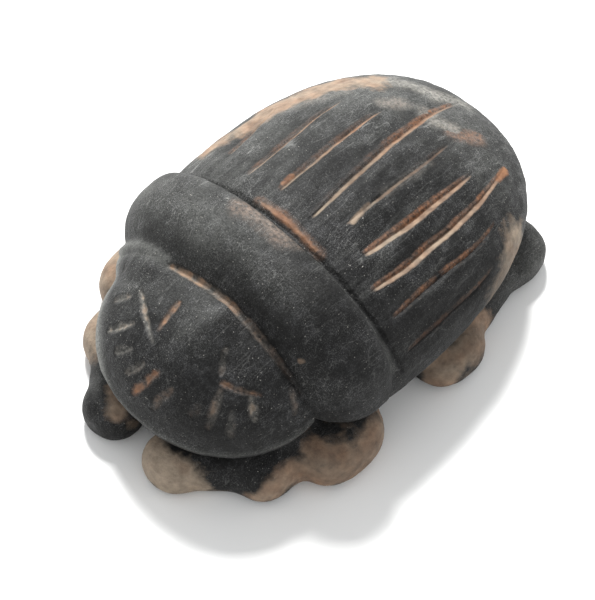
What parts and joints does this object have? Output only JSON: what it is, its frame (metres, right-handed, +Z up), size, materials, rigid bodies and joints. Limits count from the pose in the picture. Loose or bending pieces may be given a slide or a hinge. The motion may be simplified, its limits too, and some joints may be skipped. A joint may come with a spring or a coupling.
{
  "type": "scarab amulet",
  "caption": "Small carved stone scarab with grooved wing cases, domed thorax, notched head plate and stout legs on a flat underside.",
  "frame": {"origin": "on the resting plane, at the middle of the amulet's length and width", "axes": "+Z up, -Y towards the head, +Y towards the tail, +X to the scarab's own left side"},
  "size_m": [0.017, 0.0244, 0.01],
  "materials": {
    "black_stained_stone": "matte bluish-black stain over pale beige stone, worn through in the cut lines, on the feet and on the far flank"
  },
  "bodies": {
    "root": {"scarab": "black_stained_stone"}
  },
  "joints": []
}
